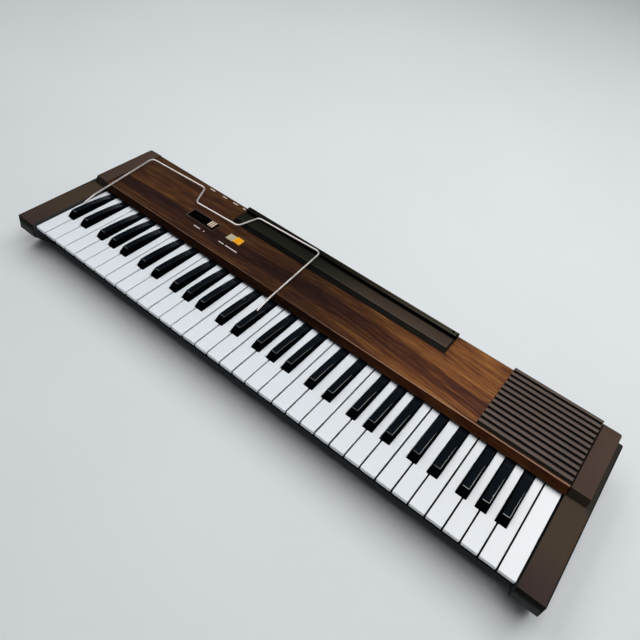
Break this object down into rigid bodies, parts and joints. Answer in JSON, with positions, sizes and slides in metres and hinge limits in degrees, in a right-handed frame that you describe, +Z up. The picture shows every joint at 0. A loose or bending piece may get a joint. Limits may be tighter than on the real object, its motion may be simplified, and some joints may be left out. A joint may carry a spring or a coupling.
{
  "type": "digital piano",
  "caption": "Portable digital piano with full-size keys, wood-grained top, slatted speaker grille, slider, push buttons and a lift-off wire music rest.",
  "frame": {"origin": "bottom centre of the bounding box, on the surface that the feet stand on", "axes": "+X from the low notes to the high notes, +Y from the player to the rear, +Z up"},
  "size_m": [0.9188, 0.2716, 0.0823],
  "materials": {
    "white_plastic": "satin white key plastic",
    "black_plastic": "glossy black key plastic",
    "dark_plastic": "fine-textured dark brown-grey case plastic",
    "grille_plastic": "satin brown-grey plastic",
    "cream_plastic": "cream plastic",
    "orange_plastic": "orange plastic",
    "wood": "lacquered rosewood grain, semi-gloss",
    "cloth": "black speaker cloth",
    "rubber": "matt black rubber",
    "red_felt": "red felt",
    "board_green": "green circuit board",
    "steel": "plain steel",
    "zinc_steel": "zinc-plated sheet steel",
    "spring_steel": "spring steel",
    "chrome": "bright plated wire"
  },
  "bodies": {
    "case": {"bottom_case": "dark_plastic", "left_cheek": "dark_plastic", "right_cheek": "dark_plastic", "left_end_block": "dark_plastic", "right_end_block": "dark_plastic", "wood_panel": "wood", "left_panel_bracket": "zinc_steel", "right_panel_bracket": "zinc_steel", "speaker_grille": "grille_plastic", "grille_cloth": "cloth", "speaker_frame": "zinc_steel", "speaker_cone": "dark_plastic", "rest_holder": "grille_plastic", "slider_bezel": "grille_plastic", "slide_control": "steel", "cream_switch": "steel", "orange_switch": "steel", "switch_board": "board_green", "main_board": "board_green", "rear_panel": "dark_plastic", "headphone_jack": "black_plastic", "pedal_jack": "black_plastic", "power_inlet": "black_plastic", "key_frame": "zinc_steel", "key_pivot_rod": "steel", "key_stop_felt": "red_felt", "key_contact_board": "board_green", "key_springs": "spring_steel", "foot_front_left": "rubber", "foot_front_right": "rubber", "foot_rear_left": "rubber", "foot_rear_right": "rubber"},
    "music_rest_wire": {"music_rest_wire": "chrome"},
    "slider_knob": {"slider_knob": "cream_plastic"},
    "tone_button_cream": {"tone_button_cream": "cream_plastic"},
    "tone_button_orange": {"tone_button_orange": "orange_plastic"},
    "key_c_4": {"key_c_4": "white_plastic"},
    "key_c_sharp_4": {"key_c_sharp_4": "black_plastic"},
    "key_d_4": {"key_d_4": "white_plastic"},
    "key_d_sharp_4": {"key_d_sharp_4": "black_plastic"},
    "key_e_4": {"key_e_4": "white_plastic"},
    "key_f_4": {"key_f_4": "white_plastic"},
    "key_f_sharp_4": {"key_f_sharp_4": "black_plastic"},
    "key_g_4": {"key_g_4": "white_plastic"},
    "key_g_sharp_4": {"key_g_sharp_4": "black_plastic"},
    "key_a_4": {"key_a_4": "white_plastic"},
    "key_a_sharp_4": {"key_a_sharp_4": "black_plastic"},
    "key_b_4": {"key_b_4": "white_plastic"},
    "white_keys_octave_2": {"white_keys_octave_2": "white_plastic"},
    "black_keys_octave_2": {"black_keys_octave_2": "black_plastic"},
    "white_keys_octave_3": {"white_keys_octave_3": "white_plastic"},
    "black_keys_octave_3": {"black_keys_octave_3": "black_plastic"},
    "white_keys_octave_5": {"white_keys_octave_5": "white_plastic"},
    "black_keys_octave_5": {"black_keys_octave_5": "black_plastic"},
    "white_keys_octave_6": {"white_keys_octave_6": "white_plastic"},
    "black_keys_octave_6": {"black_keys_octave_6": "black_plastic"}
  },
  "joints": [
    {"name": "key_c_4_hinge", "type": "hinge", "parent": "case", "child": "key_c_4", "pos_m": [0, 0.0313, 0.0472], "axis": [1, 0, 0], "range_deg": [0, 3], "stiffness_Nm_per_rad": 0.6, "springref_deg": -5.73},
    {"name": "key_c_sharp_4_hinge", "type": "hinge", "parent": "case", "child": "key_c_sharp_4", "pos_m": [0, 0.0313, 0.0472], "axis": [1, 0, 0], "range_deg": [0, 3], "stiffness_Nm_per_rad": 0.4, "springref_deg": -5.73},
    {"name": "key_d_4_hinge", "type": "hinge", "parent": "case", "child": "key_d_4", "pos_m": [0, 0.0313, 0.0472], "axis": [1, 0, 0], "range_deg": [0, 3], "stiffness_Nm_per_rad": 0.6, "springref_deg": -5.73},
    {"name": "key_d_sharp_4_hinge", "type": "hinge", "parent": "case", "child": "key_d_sharp_4", "pos_m": [0, 0.0313, 0.0472], "axis": [1, 0, 0], "range_deg": [0, 3], "stiffness_Nm_per_rad": 0.4, "springref_deg": -5.73},
    {"name": "key_e_4_hinge", "type": "hinge", "parent": "case", "child": "key_e_4", "pos_m": [0, 0.0313, 0.0472], "axis": [1, 0, 0], "range_deg": [0, 3], "stiffness_Nm_per_rad": 0.6, "springref_deg": -5.73},
    {"name": "key_f_4_hinge", "type": "hinge", "parent": "case", "child": "key_f_4", "pos_m": [0, 0.0313, 0.0472], "axis": [1, 0, 0], "range_deg": [0, 3], "stiffness_Nm_per_rad": 0.6, "springref_deg": -5.73},
    {"name": "key_f_sharp_4_hinge", "type": "hinge", "parent": "case", "child": "key_f_sharp_4", "pos_m": [0, 0.0313, 0.0472], "axis": [1, 0, 0], "range_deg": [0, 3], "stiffness_Nm_per_rad": 0.4, "springref_deg": -5.73},
    {"name": "key_g_4_hinge", "type": "hinge", "parent": "case", "child": "key_g_4", "pos_m": [0, 0.0313, 0.0472], "axis": [1, 0, 0], "range_deg": [0, 3], "stiffness_Nm_per_rad": 0.6, "springref_deg": -5.73},
    {"name": "key_g_sharp_4_hinge", "type": "hinge", "parent": "case", "child": "key_g_sharp_4", "pos_m": [0, 0.0313, 0.0472], "axis": [1, 0, 0], "range_deg": [0, 3], "stiffness_Nm_per_rad": 0.4, "springref_deg": -5.73},
    {"name": "key_a_4_hinge", "type": "hinge", "parent": "case", "child": "key_a_4", "pos_m": [0, 0.0313, 0.0472], "axis": [1, 0, 0], "range_deg": [0, 3], "stiffness_Nm_per_rad": 0.6, "springref_deg": -5.73},
    {"name": "key_a_sharp_4_hinge", "type": "hinge", "parent": "case", "child": "key_a_sharp_4", "pos_m": [0, 0.0313, 0.0472], "axis": [1, 0, 0], "range_deg": [0, 3], "stiffness_Nm_per_rad": 0.4, "springref_deg": -5.73},
    {"name": "key_b_4_hinge", "type": "hinge", "parent": "case", "child": "key_b_4", "pos_m": [0, 0.0313, 0.0472], "axis": [1, 0, 0], "range_deg": [0, 3], "stiffness_Nm_per_rad": 0.6, "springref_deg": -5.73},
    {"name": "white_keys_octave_2_hinge", "type": "hinge", "parent": "case", "child": "white_keys_octave_2", "pos_m": [0, 0.0313, 0.0472], "axis": [1, 0, 0], "range_deg": [0, 3], "stiffness_Nm_per_rad": 4.2, "springref_deg": -5.73},
    {"name": "black_keys_octave_2_hinge", "type": "hinge", "parent": "case", "child": "black_keys_octave_2", "pos_m": [0, 0.0313, 0.0472], "axis": [1, 0, 0], "range_deg": [0, 3], "stiffness_Nm_per_rad": 2, "springref_deg": -5.73},
    {"name": "white_keys_octave_3_hinge", "type": "hinge", "parent": "case", "child": "white_keys_octave_3", "pos_m": [0, 0.0313, 0.0472], "axis": [1, 0, 0], "range_deg": [0, 3], "stiffness_Nm_per_rad": 4.2, "springref_deg": -5.73},
    {"name": "black_keys_octave_3_hinge", "type": "hinge", "parent": "case", "child": "black_keys_octave_3", "pos_m": [0, 0.0313, 0.0472], "axis": [1, 0, 0], "range_deg": [0, 3], "stiffness_Nm_per_rad": 2, "springref_deg": -5.73},
    {"name": "white_keys_octave_5_hinge", "type": "hinge", "parent": "case", "child": "white_keys_octave_5", "pos_m": [0, 0.0313, 0.0472], "axis": [1, 0, 0], "range_deg": [0, 3], "stiffness_Nm_per_rad": 4.2, "springref_deg": -5.73},
    {"name": "black_keys_octave_5_hinge", "type": "hinge", "parent": "case", "child": "black_keys_octave_5", "pos_m": [0, 0.0313, 0.0472], "axis": [1, 0, 0], "range_deg": [0, 3], "stiffness_Nm_per_rad": 2, "springref_deg": -5.73},
    {"name": "white_keys_octave_6_hinge", "type": "hinge", "parent": "case", "child": "white_keys_octave_6", "pos_m": [0, 0.0313, 0.0472], "axis": [1, 0, 0], "range_deg": [0, 3], "stiffness_Nm_per_rad": 4.8, "springref_deg": -5.73},
    {"name": "black_keys_octave_6_hinge", "type": "hinge", "parent": "case", "child": "black_keys_octave_6", "pos_m": [0, 0.0313, 0.0472], "axis": [1, 0, 0], "range_deg": [0, 3], "stiffness_Nm_per_rad": 2, "springref_deg": -5.73},
    {"name": "slider_slide", "type": "slide", "parent": "case", "child": "slider_knob", "axis": [1, 0, 0], "range_m": [-0.0425, 0.0035]},
    {"name": "cream_button_press", "type": "slide", "parent": "case", "child": "tone_button_cream", "axis": [0, 0, 1], "range_m": [0, 0.0018]},
    {"name": "orange_button_press", "type": "slide", "parent": "case", "child": "tone_button_orange", "axis": [0, 0, 1], "range_m": [-0.0018, 0], "stiffness_N_per_m": 400, "springref_m": 0.002},
    {"name": "music_rest_lift", "type": "slide", "parent": "case", "child": "music_rest_wire", "axis": [0, 0, 1], "range_m": [0, 0.15]}
  ]
}
